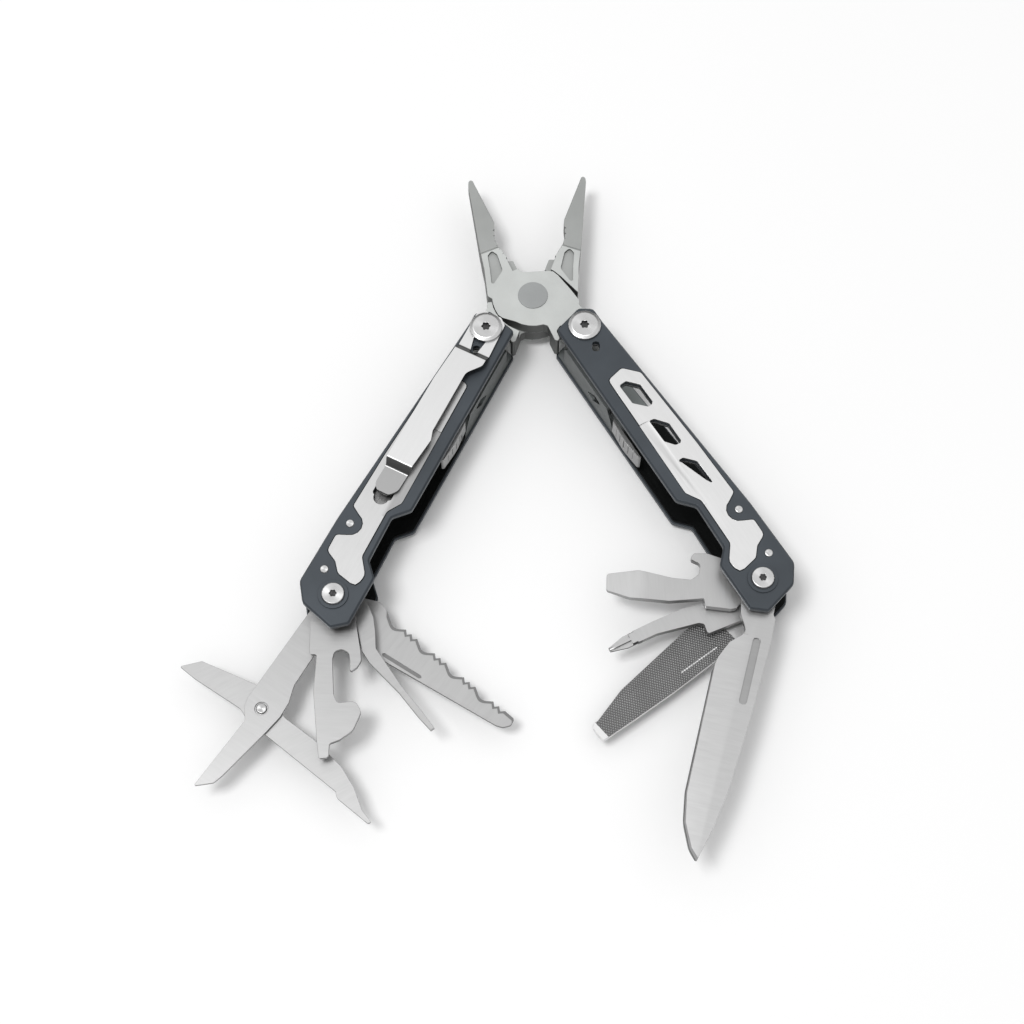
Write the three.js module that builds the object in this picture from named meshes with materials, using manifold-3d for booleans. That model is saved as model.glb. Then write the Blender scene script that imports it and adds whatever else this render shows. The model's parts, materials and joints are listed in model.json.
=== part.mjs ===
// Folding plier multi tool, lying on its side with the jaws and handles open.
// Z is up, through the thickness of the tool; Y runs along the tool towards the jaw tips. Millimetres.
import * as THREE from "three";
import { mergeVertices } from "three/addons/utils/BufferGeometryUtils.js";
import Module from "manifold-3d";

const wasm = await Module();
wasm.setup();
const RAD = Math.PI / 180;

// ---- Driving dimensions ----

// Pose: how far each jaw stands open, and the direction of each handle in plan.
const JAW_OPEN = 21.5;
const HANDLE_SPLAY = 61;

// Handle: pivot screw to tool stack screw, and the pivot eye in the frame of a closed jaw.
const STACK_U = 85;
const EYE = [-7.5, -17.1];
const EYE_R = 4.9;

// Levels through the thickness.
const HEAD_LOW = 0;
const SCALE_LOW = [1.1, 2.8];
const LINER_LOW = [2.9, 3.7];
const LINER_TOP = [15.3, 16.1];
const SCALE_TOP = [16.2, 17.9];
const HEAD_TOP = 19.0;
const JAW_Z = [4.0, 12.1];
const LAP_GAP = [8.0, 8.1];
const EYE_TOP = 15.0;
const NOSE_TIP_Z = [6.0, 10.2];

// Screws, barrels and bores.
const BARREL_R = 2.4;
const BORE_R = 2.5;
const PIVOT_HEAD_R = 4.4;
const STACK_HEAD_R = 3.1;
const STACK_BOSS_R = 3.9;
const STACK_BOSS_H = 0.4;
const CLIP_T = 0.8;

// Plier head.
const HUB_R = 9.4;
const LAP_CUT_R = 9.7;
const LOBE_R = 11.2;
const LOBE_CUT_R = 11.5;
const RIVET_R = 3.0;
const RIVET_HEAD_R = 4.1;
const RIVET_HEAD_H = 0.2;
const NOSE_STEP_Y = [17.6, 18.5];
const NOSE_DROP = 0.8;
const FACE_X = 0.15;

// Tool leaves: [bottom, top] level of each one in its handle.
const Z_FILE = [4.0, 5.8];
const Z_PHILLIPS = [7.3, 9.3];
const Z_BOTTLE = [10.0, 12.2];
const Z_KNIFE = [12.7, 15.0];
const Z_SERRATED = [6.0, 7.1];
const Z_SECOND_BLADE = [7.5, 8.3];
const Z_SCISSORS = [8.4, 9.2];
const Z_DRIVER = [9.5, 10.8];
const Z_CAN = [11.1, 12.4];
const TANG_R = 4.8;
const WASHER_R = 3.5;

// ---- Materials ----

function metal(name, color, roughness, metalness) {
  const m = new THREE.MeshStandardMaterial({ color, roughness, metalness });
  m.name = name;
  return m;
}
const ANODISED = metal("anodised_blue_grey", 0x4b535c, 0.5, 0.6);
const SATIN = metal("satin_silver", 0xd6d8d8, 0.35, 0.9);
const BRUSHED = metal("brushed_steel", 0xb9bcbd, 0.35, 1.0);
const BLASTED = metal("bead_blasted_steel", 0xb4b8b4, 0.6, 0.9);
const DARK_STEEL = metal("dark_steel", 0x6f7476, 0.5, 0.9);
const POLISHED = metal("polished_steel", 0xd8dada, 0.2, 1.0);

// ---- Building blocks ----

// Corner list [x, y, radius] to a shape whose corners are rounded by their radius; the smallest are bevelled.
function outline(corners) {
  const shape = new THREE.Shape();
  const n = corners.length;
  corners.forEach(([x, y, r = 0], i) => {
    const before = corners[(i + n - 1) % n];
    const after = corners[(i + 1) % n];
    const lenA = Math.hypot(before[0] - x, before[1] - y);
    const lenB = Math.hypot(after[0] - x, after[1] - y);
    const ax = (before[0] - x) / lenA;
    const ay = (before[1] - y) / lenA;
    const bx = (after[0] - x) / lenB;
    const by = (after[1] - y) / lenB;
    const half = Math.acos(Math.max(-1, Math.min(1, ax * bx + ay * by))) / 2;
    const t = r ? Math.min(r / Math.tan(half), 0.45 * lenA, 0.45 * lenB) : 0;
    const move = i ? "lineTo" : "moveTo";
    shape[move](x + ax * t, y + ay * t);
    if (r > 0.6) shape.quadraticCurveTo(x, y, x + bx * t, y + by * t);
    else if (r > 0) shape.lineTo(x + bx * t, y + by * t);
  });
  shape.closePath();
  return shape;
}

// The same corners moved inwards by d, measured square to each edge.
function inset(corners, d) {
  const n = corners.length;
  let area = 0;
  corners.forEach(([x, y], i) => {
    const [x2, y2] = corners[(i + 1) % n];
    area += x * y2 - x2 * y;
  });
  const s = Math.sign(area) * d;
  return corners.map(([x, y, r = 0], i) => {
    const [px, py] = corners[(i + n - 1) % n];
    const [qx, qy] = corners[(i + 1) % n];
    const la = Math.hypot(x - px, y - py);
    const lb = Math.hypot(qx - x, qy - y);
    const n1 = [-(y - py) / la, (x - px) / la];
    const n2 = [-(qy - y) / lb, (qx - x) / lb];
    const k = s / (1 + n1[0] * n2[0] + n1[1] * n2[1]);
    return [x + (n1[0] + n2[0]) * k, y + (n1[1] + n2[1]) * k, r];
  });
}

const flip = (corners, sign) => corners.map(([x, y, r = 0]) => [x, sign * y, r]);

// three.js geometry to a manifold solid.
function solid(geometry) {
  const g = geometry.index ? geometry.toNonIndexed() : geometry.clone();
  g.deleteAttribute("normal");
  g.deleteAttribute("uv");
  const merged = mergeVertices(g, 1e-4);
  const vertProperties = merged.attributes.position.array;
  const triVerts = new Uint32Array(merged.index.array);
  return new wasm.Manifold(new wasm.Mesh({ numProp: 3, vertProperties, triVerts }));
}

// Upright prism of a corner list between two levels.
function prism(corners, [z0, z1], curveSegments = 2) {
  const settings = { depth: z1 - z0, bevelEnabled: false, curveSegments };
  return solid(new THREE.ExtrudeGeometry(outline(corners), settings).translate(0, 0, z0));
}

// Upright round bar or cone frustum: r0 at the lower level, r1 at the upper one.
function round(r0, r1, [z0, z1], [x, y] = [0, 0], sides = 20) {
  const g = new THREE.CylinderGeometry(r1, r0, z1 - z0, sides);
  return solid(g.rotateX(Math.PI / 2).translate(x, y, (z0 + z1) / 2));
}

// Bar along X with radius r0 at x0 and r1 at x1, centred on level z.
function bar(r0, r1, [x0, x1], y, z, sides = 20) {
  const g = new THREE.CylinderGeometry(r1, r0, x1 - x0, sides);
  return solid(g.rotateZ(-Math.PI / 2).translate((x0 + x1) / 2, y, z));
}

function box([x0, x1], [y0, y1], [z0, z1]) {
  const g = new THREE.BoxGeometry(x1 - x0, y1 - y0, z1 - z0);
  return solid(g.translate((x0 + x1) / 2, (y0 + y1) / 2, (z0 + z1) / 2));
}

// Side profile [along, level] swept across Y from y0 to y1.
function across(profile, [y0, y1]) {
  const settings = { depth: y1 - y0, bevelEnabled: false, curveSegments: 4 };
  const g = new THREE.ExtrudeGeometry(outline(profile), settings);
  return solid(g.rotateX(Math.PI / 2).translate(0, y1, 0));
}

// Side profile [y, level] swept across X from x0 to x1.
function alongY(profile, [x0, x1]) {
  const settings = { depth: x1 - x0, bevelEnabled: false, curveSegments: 3 };
  const g = new THREE.ExtrudeGeometry(outline(profile), settings);
  g.rotateX(Math.PI / 2).rotateZ(Math.PI / 2);
  return solid(g.translate(x0, 0, 0));
}

const join = (...parts) => parts.flat().reduce((a, b) => a.add(b));
const cut = (body, ...tools) => tools.flat().reduce((a, b) => a.subtract(b), body);
const bore = (x, y, r = BORE_R) => round(r, r, [-5, 30], [x, y], r < 1.5 ? 10 : 18);

// Six-lobe driver recess, open upwards from its floor.
function sixLobe(r, floor, [x, y]) {
  const star = Array.from({ length: 12 }, (_, i) => {
    const reach = i % 2 ? 0.66 * r : r;
    return [x + reach * Math.cos(i * 30 * RAD), y + reach * Math.sin(i * 30 * RAD), 0.15];
  });
  return prism(star, [floor, 30]);
}

function piece(name, body, material) {
  const m = body.getMesh();
  const g = new THREE.BufferGeometry();
  const points = new Float32Array(m.numVert * 3);
  for (let i = 0; i < m.numVert; i++) {
    points.set(m.vertProperties.subarray(i * m.numProp, i * m.numProp + 3), i * 3);
  }
  g.setAttribute("position", new THREE.BufferAttribute(points, 3));
  g.setIndex(new THREE.BufferAttribute(m.triVerts, 1));
  const mesh = new THREE.Mesh(g.toNonIndexed(), material);
  mesh.geometry.computeVertexNormals();
  mesh.name = name;
  return mesh;
}

// A plate with a chamfer round its outer face; up says which face is the outer one.
function plate(corners, [z0, z1], chamfer, up) {
  const settings = {
    depth: z1 - z0 + 2 - 2 * chamfer,
    bevelEnabled: true,
    bevelThickness: chamfer,
    bevelSize: chamfer,
    bevelOffset: -chamfer,
    bevelSegments: 1,
    curveSegments: 2,
  };
  const start = up ? z0 - 2 + chamfer : z0 + chamfer;
  const g = new THREE.ExtrudeGeometry(outline(corners), settings).translate(0, 0, start);
  return solid(g).intersect(box([-20, 120], [-20, 20], [z0, z1]));
}

// ---- Plier jaws, drawn closed with the nose on the +X side and the pivot at the origin ----

const polar = (r, deg) => [r * Math.cos(deg * RAD), r * Math.sin(deg * RAD)];
const arc = (r, from, to, steps) =>
  Array.from({ length: steps + 1 }, (_, i) => polar(r, from + ((to - from) * i) / steps));

const NOSE = [
  [FACE_X, 41.9, 0.4],
  [1.2, 42.0, 0.5],
  [1.9, 40.6, 1],
  [7.3, 20.0],
  [8.9, 12.9, 8],
  [11.4, 4.8, 0.6],
  ...arc(LOBE_R, 18.7, -9, 3),
  [10.4, -3.0, 1],
  ...arc(HUB_R, -35, -84, 4),
  [0.1, -10.2, 0.3],
  [0.1, -15.4, 0.5],
  [-1.2, -15.4, 0.5],
  [-1.4, -12.6, 0.5],
  [-3.4, -11.2, 0.5],
  [-4.6, -13.6],
  [-7.5, -17.1],
  [-12.2, -16.0],
  [-11.2, -11.0],
  [-10.4, -7.7, 0.5],
  [-11.0, -6.4, 0.5],
  [-10.2, -2.2, 2],
  ...arc(HUB_R, 171, 150, 2),
  polar(8.7, 141),
  polar(8.0, 131),
  polar(7.6, 119),
  polar(7.5, 106),
  [FACE_X - 0.6, 7.9, 0.3],
  [FACE_X, 8.6, 0.2],
  [FACE_X, 13.2, 0.3],
  [1.7, 13.7, 0.4],
  [2.4, 18.0, 4],
  [2.1, 21.6, 4],
  [FACE_X, 26.2, 1],
];

// How far the handle side of the other jaw swings into this one's shoulder at full opening.
const STOP_CUT = [
  [0, 0],
  polar(LOBE_CUT_R, -100),
  polar(15, -60),
  polar(15, 0),
  polar(15, 17.6),
  polar(13.5, 18.6),
  polar(10.9, 36),
  polar(9.8, 58),
  polar(LAP_CUT_R, 75),
];

const TEETH = 14;
const TOOTH_PITCH = 1.05;
const PIPE_TEETH = 6;

function jaw(upper) {
  const own = upper ? [LAP_GAP[1], JAW_Z[1]] : [JAW_Z[0], LAP_GAP[0]];
  const other = upper ? [JAW_Z[0] - 1, LAP_GAP[1]] : [LAP_GAP[0], JAW_Z[1] + 1];
  const side = alongY(
    [
      [-30, JAW_Z[0]],
      [NOSE_STEP_Y[0], JAW_Z[0]],
      [NOSE_STEP_Y[1], JAW_Z[0] + NOSE_DROP],
      [43, NOSE_TIP_Z[0]],
      [43, NOSE_TIP_Z[1]],
      [NOSE_STEP_Y[1], JAW_Z[1] - NOSE_DROP],
      [NOSE_STEP_Y[0], JAW_Z[1]],
      [-30, JAW_Z[1]],
    ],
    [-20, 20],
  );
  const lobeCut = [[0, 0], ...arc(15, 160, 209.4, 3), ...arc(LOBE_CUT_R, 209.4, 262, 6)];
  let body = prism(NOSE, JAW_Z).intersect(side);
  body = cut(
    body,
    round(LAP_CUT_R, LAP_CUT_R, other, [0, 0], 32),
    prism(lobeCut, other),
    prism(STOP_CUT, other),
  );
  // Eye for the handle screw, with its boss.
  body = join(body, round(EYE_R, EYE_R, [JAW_Z[0], EYE_TOP], EYE, 32));
  // Cross teeth of the flat grip, then the coarser ones of the rounded grip.
  const teeth = [];
  for (let i = 0; i < TEETH; i++) {
    const y = 26.9 + i * TOOTH_PITCH;
    teeth.push(prism([[FACE_X - 0.5, y - 0.35], [FACE_X + 0.35, y], [FACE_X - 0.5, y + 0.35]], [0, 16]));
  }
  for (let i = 0; i < PIPE_TEETH; i++) {
    const y = 15.4 + i * 1.7;
    const x = 2.25 - 0.035 * (y - 18.5) ** 2;
    teeth.push(prism([[x - 0.6, y - 0.55], [x + 0.45, y], [x - 0.6, y + 0.55]], [0, 16]));
  }
  // Long pocket on the outer face of the shoulder, and the lowered top of the wire cutter beside it.
  const pocket = [
    [4.7, 17.6, 1],
    [6.4, 16.5, 1],
    [7.5, 12.3, 4],
    [8.9, 8.0, 0.5],
    [8.3, 7.7, 0.4],
    [4.4, 10.6, 1.5],
    [3.8, 15.8, 1],
  ];
  const cutterTop = box([-1, 2.0], [9.3, 13.9], [10.2, 13]);
  body = cut(body, teeth, prism(pocket, [11.4, 13], 4), cutterTop, bore(0, 0, RIVET_R + 0.1), bore(...EYE));
  return body;
}

// Turns a body drawn nose-right into its place, mirrored when the nose belongs on the left.
function place(body, mirrored, degrees) {
  const b = mirrored ? body.mirror([1, 0, 0]) : body;
  return b.rotate([0, 0, degrees]);
}

const jawRivet = join(
  round(RIVET_R, RIVET_R, [JAW_Z[0] + 0.1, JAW_Z[1] + 0.2], [0, 0], 32),
  round(RIVET_HEAD_R, RIVET_HEAD_R - 0.05, [JAW_Z[1] + 0.04, JAW_Z[1] + 0.04 + RIVET_HEAD_H], [0, 0], 40),
);

const tool = new THREE.Group();
tool.add(
  piece("jaw_left", place(jaw(true), true, JAW_OPEN), BLASTED),
  piece("jaw_right", place(jaw(false), false, -JAW_OPEN), BLASTED),
  piece("jaw_rivet", jawRivet, DARK_STEEL),
);

// ---- Handles, drawn as (u, v): u runs from the pivot screw to the stack screw, v towards the inner side ----

const SCALE = [
  [-5.6, -1.6, 1.5],
  [-3.4, -4.9, 1.5],
  [1.0, -4.9],
  [45.0, -8.0],
  [66.0, -9.2],
  [85.5, -9.5, 2.5],
  [90.3, -6.0, 2],
  [93.0, 3.5, 1],
  [90.0, 7.2, 1],
  [76.3, 7.2, 1.5],
  [72.6, 3.6, 1.5],
  [59.6, 3.2, 1.5],
  [55.6, 6.9, 1.5],
  [-3.0, 6.9, 0.6],
];
const RIVETS = [[66.0, -5.5], [80.0, -5.3]];
const INLAY = [
  [17.0, 3.5, 1.2],
  [15.7, -1.7, 1.2],
  [19.6, -5.5, 1.4],
  [45.0, -6.9],
  [61.4, -7.3, 0.9],
  ...arc(3.1, 165, 15, 6).map(([u, v]) => [RIVETS[0][0] + u, RIVETS[0][1] + v]),
  [70.2, -7.4, 0.9],
  [75.3, -7.3, 1.6],
  [77.0, -4.0, 1.6],
  [79.6, -1.8, 1.6],
  [81.0, 4.3, 2],
  [76.8, 5.0, 2.4],
  [72.6, 1.8, 1.8],
  [58.9, 1.6, 1.8],
  [55.0, 3.9, 1.6],
];
// Shallow thumb scoop that slopes down to the inner edge of the inlay.
const SCOOP = { u: [32.6, 60.4], v: 0.5, slope: 0.13 };
const POCKET_DEPTH = 0.5;
const INLAY_PROUD = 0.2;
const WINDOWS = [
  [
    [19.8, -0.5, 0.4],
    [22.6, -3.2, 0.5],
    [29.0, -3.3, 0.6],
    [29.2, -1.5, 0.5],
    [26.2, 1.5, 0.5],
    [20.0, 1.7, 0.4],
  ],
  [
    [32.8, 0.6, 0.3],
    [33.0, -0.9, 0.5],
    [36.1, -3.5, 0.5],
    [42.4, -3.5, 0.5],
    [42.3, -1.6, 0.5],
    [39.9, 0.4, 0.5],
  ],
  [
    [46.4, 0.5, 0.3],
    [46.3, -1.2, 0.5],
    [49.0, -3.8, 0.5],
    [56.9, -4.0, 0.3],
    [55.0, -3.0, 0.3],
    [47.3, -0.2, 0.5],
  ],
];
// Left top face: one window under the lip of the clip, with a half-round thumb notch at its end.
const CLIP_WINDOW = [[50.0, -4.5, 0.5], [56.0, -4.5, 0.5], [56.0, 0.8, 0.5], [50.0, 0.8, 0.5]];
const CLIP_NOTCH = { at: [56.0, -1.8], r: 2.0 };
const PIVOT_SLOT = [[5.0, 0.7, 0.9], [6.1, -1.0, 0.9], [8.6, 0.6, 0.9], [7.5, 2.4, 0.9]];

function scoopWedge(outer, up, hand) {
  const { u, v, slope } = SCOOP;
  const out = up ? 1 : -1;
  const face = outer + out * INLAY_PROUD;
  const section = [[v, face], [v + 7, face - out * 7 * slope], [v + 7, face + out], [v, face + out]];
  return alongY(section.map(([y, z]) => [hand * y, z]), u);
}

const WALL_U = [0.6, 22.0];
const WALL_V = [5.7, 6.5];
const WALL_TOP = 12.2;
const RELEASE_U = [25.4, 38.6];

function handle(side, hand, blockZ, clipped) {
  const group = new THREE.Group();
  const at = ([u, v]) => [u, hand * v];
  const add = (name, body, material) => group.add(piece(name + "_" + side, body, material));
  const holes = [bore(0, 0), bore(STACK_U, 0), ...RIVETS.map((p) => bore(...at(p), 0.95))];
  const windows = WINDOWS.map((w) => prism(flip(w, hand), [-5, 30]));
  const notch = bore(...at(CLIP_NOTCH.at), CLIP_NOTCH.r);
  const clipWindow = [prism(flip(CLIP_WINDOW, hand), [-5, 30]), notch];

  for (const up of [true, false]) {
    const face = up ? "top" : "bottom";
    const level = up ? SCALE_TOP : SCALE_LOW;
    const outer = up ? SCALE_TOP[1] : SCALE_LOW[0];
    const span = (a, b) => (up ? [outer + a, outer + b] : [outer - b, outer - a]);
    const open = clipped && up ? clipWindow : windows;
    const slot = up ? [prism(flip(PIVOT_SLOT, hand), [-5, 30])] : [];

    // Scale: chamfered plate with the inlay pocket and a round boss under the stack screw head.
    let scale = plate(flip(SCALE, hand), level, 0.45, up);
    scale = join(scale, round(STACK_BOSS_R, STACK_BOSS_R, span(-0.2, STACK_BOSS_H), [STACK_U, 0]));
    scale = cut(scale, prism(flip(INLAY, hand), span(-POCKET_DEPTH, 2)), holes, open, slot);
    add("scale_" + face, scale, ANODISED);

    // Inlay: its thumb scoop slopes down to the inner edge of the handle.
    let inlay = prism(inset(flip(INLAY, hand), 0.2), span(-POCKET_DEPTH + 0.02, INLAY_PROUD));
    add("inlay_" + face, cut(inlay, open, scoopWedge(outer, up, hand)), SATIN);

    // Liner: the bottom one is bent up into the lock wall.
    let liner = prism(inset(flip(SCALE, hand), 0.4), up ? LINER_TOP : LINER_LOW);
    if (!up) {
      const v = WALL_V.map((w) => hand * w).sort((a, b) => a - b);
      const wallSide = [
        [WALL_U[0], LINER_LOW[0] + 0.1],
        [WALL_U[1] + 3.5, LINER_LOW[0] + 0.1],
        [WALL_U[1] + 3.2, 5.9, 0.5],
        [WALL_U[1], WALL_TOP, 1],
        [WALL_U[0], WALL_TOP, 0.6],
      ];
      const leafHole = [[12.2, 6.8, 0.4], [15.4, 6.2, 0.8], [19.2, 9.6, 0.4], [16.0, 10.2, 0.8]];
      liner = join(liner, cut(across(wallSide, v), across(leafHole, [v[0] - 1, v[1] + 1])));
    }
    liner = cut(liner, holes, clipped && up ? [] : open, slot);
    add("liner_" + face, liner, up ? BRUSHED : DARK_STEEL);

    // Two short rivets hold the plates together at the outer edge.
    RIVETS.forEach((p, i) => {
      const shankSpan = up ? [LINER_TOP[0] + 0.1, outer + 0.1] : [outer - 0.1, LINER_LOW[1] - 0.1];
      const rivet = join(
        round(0.7, 0.7, shankSpan, at(p), 10),
        round(up ? 1.15 : 0.95, up ? 0.95 : 1.15, span(0.05, 0.3), at(p), 14),
      );
      add("rivet_" + face + "_" + (i + 1), rivet, POLISHED);
    });
  }

  // Pivot screw and barrel. The head on the clip side stands on the fork of the clip.
  const seat = SCALE_TOP[1] + 0.05 + (clipped ? CLIP_T + 0.05 : 0);
  const pivotBarrel = cut(
    join(
      round(PIVOT_HEAD_R - 0.8, PIVOT_HEAD_R, [HEAD_LOW, 0.5]),
      round(PIVOT_HEAD_R, PIVOT_HEAD_R, [0.5, SCALE_LOW[0] - 0.05]),
      round(BARREL_R, BARREL_R, [0.9, SCALE_TOP[1]]),
    ),
    round(1.5, 1.5, [11.5, 20]),
  );
  const pivotScrew = cut(
    join(
      round(PIVOT_HEAD_R, PIVOT_HEAD_R, [seat, seat + 0.6]),
      round(PIVOT_HEAD_R, PIVOT_HEAD_R - 0.9, [seat + 0.6, seat + 1.05]),
      round(1.2, 1.2, [12.5, seat + 0.1]),
    ),
    sixLobe(1.35, seat + 0.35, [0, 0]),
  );
  add("pivot_barrel", pivotBarrel, POLISHED);
  add("pivot_screw", pivotScrew, POLISHED);

  // Stack screw and barrel at the far end.
  const stack = [STACK_U, 0];
  const stackBarrel = cut(
    join(
      round(STACK_HEAD_R - 0.3, STACK_HEAD_R, [HEAD_LOW, 0.3], stack),
      round(STACK_HEAD_R, STACK_HEAD_R, [0.3, 0.65], stack),
      round(BARREL_R, BARREL_R, [0.5, 18.2], stack),
    ),
    round(1.5, 1.5, [11.5, 20], stack),
  );
  const stackScrew = cut(
    join(
      round(STACK_HEAD_R, STACK_HEAD_R - 0.3, [18.35, HEAD_TOP], stack),
      round(1.2, 1.2, [12.5, 18.5], stack),
    ),
    sixLobe(1.1, 18.6, stack),
  );
  add("stack_barrel", stackBarrel, POLISHED);
  add("stack_screw", stackScrew, POLISHED);

  // Lock release: a ribbed, slightly bulged block in the inner side of the channel.
  const [r0, r1] = RELEASE_U;
  const mid = (r0 + r1) / 2;
  const blockPlan = [
    [r0, 6.4],
    [r0 + 0.3, 7.0, 0.3],
    [mid, 7.6, 18],
    [r1 - 0.3, 7.0, 0.3],
    [r1, 6.4],
  ];
  let block = prism(flip(blockPlan, hand), blockZ, 5);
  for (let i = 0; i < 5; i++) {
    const u = r0 + 2.6 + i * 2.0;
    const rib = [[u - 0.35, 7.9], [u, 7.0], [u + 0.35, 7.9]];
    block = cut(block, prism(flip(rib, hand), [blockZ[0] + 0.8, blockZ[1] - 0.8]));
  }
  add("lock_release", block, BRUSHED);

  // Leaf spring of the release, from the lock wall to behind the block.
  const z = Math.min(blockZ[1], WALL_TOP) - 0.4;
  const leaf = [[17.0, 5.55], [22.6, 5.55, 3], [26.0, 4.9, 3], [33.4, 4.9]];
  const back = leaf.map(([u, v, r]) => [u, v - 0.35, r]).reverse();
  add("release_spring", prism(flip([...leaf, ...back], hand), [z - 1.8, z]), BRUSHED);
  return group;
}

const right = handle("right", -1, [6.1, 12.4], false);
const left = handle("left", 1, [9.6, 14.9], true);

// Pocket clip on the left handle: a fork under the pivot screw, a raised body and a turned-down lip.
const clipSide = [
  [-5.0, 17.95],
  [8.2, 17.95, 0.8],
  [9.8, 19.7, 0.8],
  [45.6, 20.1, 0.8],
  [47.4, 18.2, 0.8],
  [55.4, 18.8],
  [55.4, 19.6, 0.4],
  [47.8, 19.0, 0.8],
  [46.0, 20.9, 0.8],
  [9.4, 20.5, 0.8],
  [7.8, 18.75, 0.8],
  [-5.0, 18.75],
];
const clipPlan = [
  [-4.6, -2.2, 1],
  [-3.2, -4.2, 1],
  [8.6, -4.2, 1],
  [19.8, -5.0, 3],
  [46.3, -5.3, 0.8],
  [47.6, -4.8, 0.8],
  [53.4, -4.8, 3],
  [55.3, -3.4, 2],
  [55.3, -0.2, 2],
  [53.0, 1.6, 3],
  [47.8, 1.7, 0.8],
  [46.4, 1.9, 0.8],
  [36.9, 2.8, 1],
  [34.2, 1.9, 1],
  [15.2, 1.8, 3],
  [11.4, 4.8, 2],
  [8.4, 4.8, 1],
  [-3.0, 4.2, 1],
  [-4.6, 2.2, 1],
];
const forkSlot = [[-8.0, -1.6], [4.0, -1.6], [8.8, -0.4, 0.6], [8.8, 1.2, 0.6], [4.0, 1.9], [-8.0, 1.6]];
const clip = cut(
  across(clipSide, [-8, 8]).intersect(prism(clipPlan, [10, 30], 4)),
  prism(forkSlot, [10, 30]),
  round(1.6, 1.6, [10, 30]),
);
left.add(piece("pocket_clip", clip, POLISHED));

// ---- Tool leaves, drawn as (x, w): x from the stack screw to the tip, w towards the inner side when folded ----

const LEAVES = {
  can_opener: [
    [5.8, 5.8, 1], [13.4, 5.3], [14.3, 5.1, 0.3], [14.3, 3.4, 0.3], [24.2, 3.3, 8],
    [37.2, 1.2, 4], [41.2, 0.4, 0.3], [40.9, -2.0, 0.4], [37.3, -1.9, 0.5], [36.3, -4.2, 2],
    [33.8, -7.4, 4], [28.6, -9.2, 2.4], [25.9, -7.4, 2], [26.8, -2.9, 1.4], [24.4, -1.8, 1.4],
    [15.4, -0.7, 1.5], [13.2, -1.0, 1.5], [12.5, -2.9, 1.4], [13.4, -4.7, 1.4], [15.6, -5.2, 1.5],
    [18.6, -5.4, 0.3], [17.2, -7.1, 1.5], [15.4, -8.0, 1.6], [12.7, -7.6, 2], [4.3, -5.6],
  ],
  small_driver: [
    [2.4, 4.2], [4.6, 1.2], [5.7, -2.4, 1], [14.4, 1.1, 1], [18.2, 1.2, 1], [28.9, -0.7, 1],
    [36.9, -1.3], [41.7, -2.0], [41.7, -3.1], [36.7, -2.9, 0.5], [27.8, -2.2, 0.5], [15.8, -2.2, 1],
    [11.9, -4.5, 1], [8.3, -6.2, 1], [5.0, -6.8, 1],
  ],
  scissors_main: [
    [4.0, 4.9, 2], [32.1, 4.9, 2], [34.4, 4.3, 1], [37.4, 2.0, 1], [57.9, 3.0, 0.2],
    [54.6, -0.8, 1], [51.8, -1.6, 1], [37.0, -4.2, 2], [32.0, -4.9, 2], [27.7, -4.6, 2],
    [23.2, -3.1, 2], [13.5, -2.8, 4], [6.0, -4.2, 2],
  ],
  knife: [
    [7.7, 4.8, 0.4], [8.7, 5.5, 0.4], [13.9, 5.7], [36.8, 4.9, 20], [55.4, 3.6, 20],
    [65.9, 1.9, 20], [74.3, -0.1, 0.3], [71.8, -2.5, 7], [65.8, -5.3, 12], [58.1, -6.6, 12],
    [26.1, -7.0, 2], [22.0, -6.2, 3], [17.5, -4.3, 1.5], [14.1, -0.7, 2], [9.0, -3.4, 2],
  ],
  bottle_opener: [
    [5.4, 4.2], [6.4, 5.6, 0.4], [7.9, 5.8, 0.4], [14.3, 4.8, 0.3], [14.6, 2.7],
    [23.4, 3.1, 4], [33.5, 1.7, 4], [39.3, -0.7, 0.4], [39.0, -5.2, 0.4], [30.8, -5.7, 3],
    [22.3, -3.2, 4], [17.4, -2.5, 1.5], [15.4, -4.0, 1.2], [14.7, -6.8, 1.2], [17.4, -8.3, 0.4],
    [16.2, -9.8, 0.8], [13.1, -9.7, 1], [5.0, -6.4, 2],
  ],
  file: [
    [11.7, 5.1, 1], [20.7, 5.5, 4], [34.7, 4.4, 8], [46.7, 3.0, 8], [55.4, 1.9],
    [56.3, 1.7, 0.3], [56.0, -2.4, 0.4], [55.2, -3.1, 0.3], [53.8, -2.9, 0.5], [43.9, -4.9, 9],
    [21.0, -5.5, 3], [12.0, -5.1, 2],
  ],
};

// Serrated blade: four groups of a long scallop and two small teeth between tang and square tip.
const SERRATION = { from: 11.8, pitch: 9.85, groups: 4, edgeFrom: -6.6, edgeTo: -3.5 };
const BAND_W = 0.85;
const BAND_DEPTH = 0.3;
function serratedOutline(back) {
  const { from, pitch, groups, edgeFrom, edgeTo } = SERRATION;
  const lower = [];
  const edge = (x) => back + edgeFrom + ((edgeTo - edgeFrom) * (x - from)) / (pitch * groups);
  for (let i = 0; i < groups; i++) {
    const x = from + i * pitch;
    lower.push([x, edge(x)], [x + 3.2, edge(x) + 2.2, 3], [x + 6.0, edge(x + 6.0)]);
    lower.push([x + 7.0, edge(x + 7.0) + 0.9], [x + 7.9, edge(x + 7.9)], [x + 8.9, edge(x + 8.9) + 0.9]);
  }
  return [
    [4.3, -6.7, 1], [7.8, -8.1, 1], [10.6, -7.4, 0.8], ...lower,
    [51.2, edge(51.2), 0.2], [54.3, back - 3.2, 0.4], [54.6, -1.3, 0.5], [53.3, 0.3, 0.6], [51.6, 0.9, 1],
    [20.2, 3.7, 4], [8.0, 4.9, 3],
  ].reverse();
}

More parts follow.
